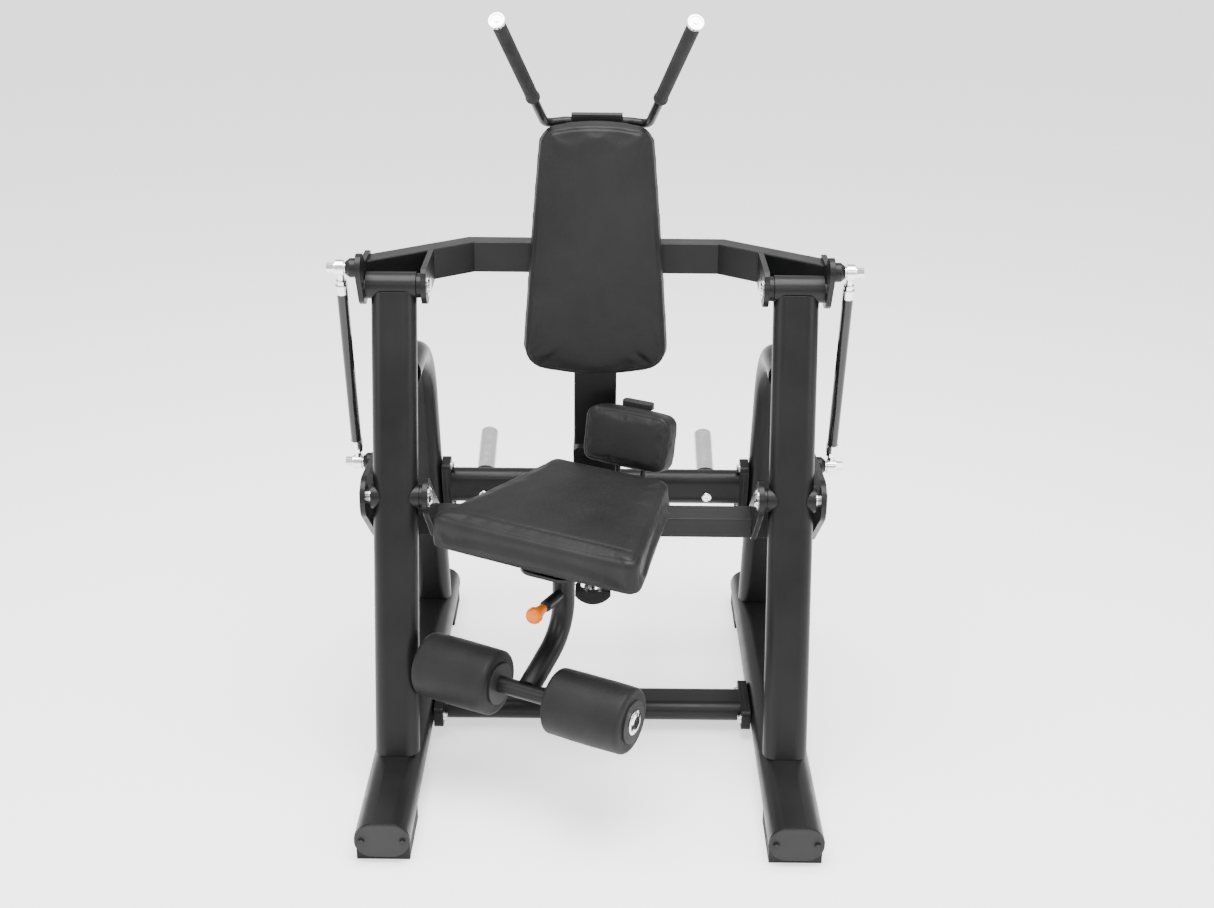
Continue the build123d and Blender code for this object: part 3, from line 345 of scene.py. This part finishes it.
def inflate(obj, pressure, travel, where):
    """Blows the cover up as cloth with its back held, then limits how far each point moved."""
    scene = bpy.context.scene
    before = points(obj)
    local = where.local(before)
    held = obj.vertex_groups.new(name="held")
    held.add([int(i) for i in np.nonzero(local[:, 2] < 0.004)[0]], 1.0, "REPLACE")
    cloth = obj.modifiers.new("cloth", "CLOTH")
    settings = cloth.settings
    settings.quality = 5
    settings.mass = 0.3
    settings.tension_stiffness = settings.compression_stiffness = 25
    settings.shear_stiffness = 12
    settings.bending_stiffness = 1.5
    settings.use_pressure = True
    settings.uniform_pressure_force = pressure
    settings.vertex_group_mass = "held"
    settings.effector_weights.gravity = 0
    cloth.collision_settings.use_collision = False
    cloth.point_cache.frame_start, cloth.point_cache.frame_end = 1, 20
    for step in range(1, 21):
        scene.frame_set(step)
    after_mesh = obj.evaluated_get(bpy.context.view_layer.depsgraph).data
    after = np.empty(len(after_mesh.vertices) * 3)
    after_mesh.vertices.foreach_get("co", after)
    after = after.reshape(-1, 3)
    move = after - before
    length = np.linalg.norm(move, axis=1, keepdims=True)
    move *= np.minimum(1.0, travel / np.maximum(length, 1e-9))
    obj.modifiers.clear()
    obj.vertex_groups.clear()
    scene.frame_set(1)
    put_points(obj, before + move)


def press_seams(obj, where, grooves):
    """Presses each seam line, given in the pad's own plane, into its front."""
    co = points(obj)
    normals = np.empty(len(co) * 3)
    obj.data.vertices.foreach_get("normal", normals)
    normals = normals.reshape(-1, 3)
    local = where.local(co)
    for line, low, high, width, depth in grooves:
        tree = KDTree(len(line))
        for i, p in enumerate(line):
            tree.insert((p[0], p[1], 0.0), i)
        tree.balance()
        near = np.nonzero((local[:, 2] > low) & (local[:, 2] < high))[0]
        for i in near:
            gap = tree.find((local[i, 0], local[i, 1], 0.0))[2]
            if gap < width * 3:
                co[i] -= normals[i] * depth * math.exp(-((gap / width) ** 2))
    put_points(obj, co)


def inset(line, amount, step=0.001):
    """A closed line moved inwards and resampled finely."""
    moved = line - outline_normals(line) * amount
    return dense(np.concatenate([moved, moved[:1]]), step)


def dense(line, step=0.001):
    out = []
    for a, b in zip(line[:-1], line[1:]):
        n = max(1, int(np.linalg.norm(b - a) / step))
        out += [a + (b - a) * k / n for k in range(n)]
    return np.array(out)


def lathe(name, start, end, profile, mat, around=96, wobble=0.0):
    """Turns (distance along, radius) pairs about the line from start to end."""
    start, end = Vector(start), Vector(end)
    axis = (end - start).normalized()
    side = axis.orthogonal().normalized()
    other = axis.cross(side)
    verts, faces = [], []
    for along, radius in profile:
        for k in range(around):
            a = 2 * math.pi * k / around
            r = radius * (1 + wobble * math.sin(3 * a + along * 40) * math.sin(2 * a + along * 17))
            verts.append(start + axis * along + side * (r * math.cos(a)) + other * (r * math.sin(a)))
    rows = len(profile)
    for i in range(rows - 1):
        for k in range(around):
            m = (k + 1) % around
            faces.append((i * around + k, i * around + m, (i + 1) * around + m, (i + 1) * around + k))
    closed = profile[0] == profile[-1]
    if not closed:
        faces.append(tuple(range(around - 1, -1, -1)))
        faces.append(tuple((rows - 1) * around + k for k in range(around)))
    return make(name, verts, faces, mat)


# ------------------------------------------------------------------ back pad
PAD_Z0, PAD_Z1 = 0.862, 1.445
PAD_BACK_Y = 0.1135
PAD_LOW_HALF, PAD_TOP_HALF = 0.172, 0.126
PAD_BOW = 0.008
back_frame = Frame2((0, PAD_BACK_Y, 0), (1, 0, 0), (0, 0, 1))
back_line = rounded(
    [
        (-PAD_LOW_HALF, PAD_Z0 + PAD_BOW),
        (PAD_LOW_HALF, PAD_Z0 + PAD_BOW),
        (PAD_TOP_HALF, PAD_Z1 - PAD_BOW),
        (-PAD_TOP_HALF, PAD_Z1 - PAD_BOW),
    ],
    [0.056, 0.056, 0.044, 0.044],
    [0.012, 0.002, 0.008, 0.002],
)
back = pad(
    "back_pad_cover", back_frame, back_line, 0.042, 0.013, 0.006, 0.003, 0.006, PAD,
    grooves=[(inset(back_line, 0.012), 0.03, 1, 0.0022, 0.0016)],
)
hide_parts("back_pad")
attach(back, "yoke")

# ------------------------------------------------------------------ seat group frame
TURN = math.radians(27.5)
TILT = math.radians(4)
ACROSS = np.array([math.cos(TURN), -math.sin(TURN), 0])
BACKWARD = np.array([math.sin(TURN), math.cos(TURN), 0])
SWIVEL = np.array([0, -0.115, 0])


def seat_point(x, y, z):
    return SWIVEL + ACROSS * x + BACKWARD * y + np.array([0, 0, z])


seat_back = BACKWARD * math.cos(TILT) + np.array([0, 0, math.sin(TILT)])
SEAT_TOP_Z, SEAT_THICK = 0.678, 0.078
seat_up = np.cross(ACROSS, seat_back)
seat_frame = Frame2(seat_point(0, 0, SEAT_TOP_Z) - seat_up * SEAT_THICK, ACROSS, seat_back)
SEAT_FRONT_Y, SEAT_REAR_Y = -0.298, 0.091
SEAT_FRONT_HALF, SEAT_REAR_HALF = 0.263, 0.151
seat_line = rounded(
    [
        (-SEAT_FRONT_HALF, SEAT_FRONT_Y),
        (SEAT_FRONT_HALF, SEAT_FRONT_Y),
        (SEAT_REAR_HALF, SEAT_REAR_Y),
        (-SEAT_REAR_HALF, SEAT_REAR_Y),
    ],
    [0.026, 0.026, 0.032, 0.032],
    [0.002, 0.0, 0.002, 0.0],
)
front_seam = dense(np.array([(-0.245, -0.254), (0.245, -0.254)]))
seat = pad(
    "seat_cover", seat_frame, seat_line, 0.075, 0.016, 0.006, 0.003, 0.006, PAD,
    grooves=[
        (inset(seat_line, 0.014), 0.04, 1, 0.0022, 0.0014),
        (front_seam, 0.04, 1, 0.0035, 0.0020),
    ],
)
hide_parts("seat_cushion")
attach(seat, "seat")

# ------------------------------------------------------------------ lumbar pad
LEAN = math.radians(12)
LUMBAR_THICK = 0.058
LUMBAR_HALF_WIDTH, LUMBAR_HALF_TALL = 0.107, 0.066
lumbar_up = np.array([0, 0, math.cos(LEAN)]) + BACKWARD * math.sin(LEAN)
lumbar_n = np.cross(ACROSS, lumbar_up)
lumbar_frame = Frame2(seat_point(0.004, 0.139, 0.7315) - lumbar_n * LUMBAR_THICK, ACROSS, lumbar_up)
lumbar_line = rounded(
    [
        (-LUMBAR_HALF_WIDTH, -LUMBAR_HALF_TALL),
        (LUMBAR_HALF_WIDTH, -LUMBAR_HALF_TALL),
        (LUMBAR_HALF_WIDTH, LUMBAR_HALF_TALL),
        (-LUMBAR_HALF_WIDTH, LUMBAR_HALF_TALL),
    ],
    [0.026] * 4, [0.002, 0.001, 0.002, 0.001], 0.004,
)
lumbar = pad(
    "lumbar_cover", lumbar_frame, lumbar_line, 0.056, 0.010, 0.005, 0.002, 0.0045, PAD,
    grooves=[(inset(lumbar_line, 0.009), 0.04, 1, 0.0018, 0.0014)],
    travel=0.003,
)
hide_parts("lumbar_pad")
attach(lumbar, "seat")

# ------------------------------------------------------------------ foam rollers
ROLLER_Y, ROLLER_Z = -0.306, 0.292
ROLLER_NEAR, ROLLER_FAR = 0.071, 0.259
ROLLER_R, ROLLER_EDGE = 0.0732, 0.011
for side, tag in ((-1, "left"), (1, "right")):
    start = seat_point(side * ROLLER_NEAR, ROLLER_Y, ROLLER_Z)
    end = seat_point(side * ROLLER_FAR, ROLLER_Y, ROLLER_Z)
    length = ROLLER_FAR - ROLLER_NEAR
    profile = [(0.0, 0.0262), (0.0, 0.050)]
    for k in range(9):
        a = math.pi / 2 * k / 8
        profile.append((ROLLER_EDGE * (1 - math.cos(a)), ROLLER_R - ROLLER_EDGE * (1 - math.sin(a))))
    for k in range(1, 24):
        t = k / 24
        profile.append((ROLLER_EDGE + (length - 2 * ROLLER_EDGE) * t, ROLLER_R + 0.001 * math.sin(math.pi * t)))
    for k in range(9):
        a = math.pi / 2 * k / 8
        profile.append((length - ROLLER_EDGE * (1 - math.sin(a)), ROLLER_R - ROLLER_EDGE * (1 - math.cos(a))))
    profile += [(length, 0.050), (length, 0.0262), (0.0, 0.0262)]
    roller = lathe(f"roller_cover_{tag}", start, end, profile, FOAM, 120, 0.004)
    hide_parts(f"leg_roller_{tag}")
    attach(roller, f"roller_{tag}")

# ------------------------------------------------------------------ hand grips
for side, tag in ((-1, "left"), (1, "right")):
    tip = Vector((side * 0.193, -0.220, 1.697))
    bend = Vector((side * 0.115, 0.126, 1.435))
    along = (tip - bend).normalized()
    low = tip - along * 0.320
    profile = [(0.0, 0.0101), (0.0, 0.0150), (0.001, 0.0160), (0.006, 0.0160), (0.008, 0.0146)]
    ridges = 52
    for k in range(ridges):
        base = 0.010 + 0.300 * k / ridges
        pitch = 0.300 / ridges
        profile += [(base, 0.0137), (base + pitch * 0.25, 0.0142), (base + pitch * 0.7, 0.0142)]
    profile += [(0.312, 0.0140), (0.319, 0.0140), (0.320, 0.0132), (0.320, 0.0101), (0.0, 0.0101)]
    grip = lathe(f"grip_sleeve_{tag}", low, tip, profile, GRIP, 48)
    if side < 0:
        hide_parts("grips")
    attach(grip, "yoke")

# ------------------------------------------------------------------ stage
bpy.ops.mesh.primitive_plane_add(size=160, location=(0, 0, -0.0005))
floor = bpy.context.object
floor.name = "studio_floor"
floor_mat = material(
    "studio_floor",
    Base_Color=(0.96, 0.96, 0.96, 1),
    Roughness=0.65,
    Specular_IOR_Level=0.1,
    Emission_Color=(1, 1, 1, 1),
    Emission_Strength=1.0,
)[0]
floor.data.materials.append(floor_mat)

world = bpy.data.worlds.new("studio")
bpy.context.scene.world = world
world.use_nodes = True
world.node_tree.nodes["Background"].inputs["Color"].default_value = (1, 1, 1, 1)
world.node_tree.nodes["Background"].inputs["Strength"].default_value = 1.0


def softbox(name, where, aim, size, power):
    light = bpy.data.lights.new(name, "AREA")
    light.shape = "RECTANGLE"
    light.size, light.size_y = size
    light.energy = power
    obj = bpy.data.objects.new(name, light)
    bpy.context.scene.collection.objects.link(obj)
    obj.location = where
    obj.rotation_euler = (Vector(aim) - Vector(where)).to_track_quat("-Z", "Y").to_euler()
    return obj


softbox("top_box", (0.0, -0.6, 4.2), (0, 0, 0.6), (3.4, 3.0), 430)
softbox("left_box", (-3.6, -2.2, 2.4), (0, 0, 0.8), (1.4, 2.4), 70)
softbox("right_box", (3.6, -2.2, 2.4), (0, 0, 0.8), (1.4, 2.4), 70)
softbox("front_box", (0.2, -4.6, 3.6), (0, 0, 0.8), (2.6, 1.6), 60)

camera_data = bpy.data.cameras.new("camera")
camera_data.lens = 47.33
camera_data.sensor_width = 36
camera = bpy.data.objects.new("camera", camera_data)
bpy.context.scene.collection.objects.link(camera)
camera.matrix_world = (
    Matrix.Translation((0.0293, -3.4145, 2.111))
    @ Matrix.Rotation(math.radians(67.5), 4, "X")
    @ Matrix.Rotation(math.radians(0.56), 4, "Z")
)
bpy.context.scene.camera = camera
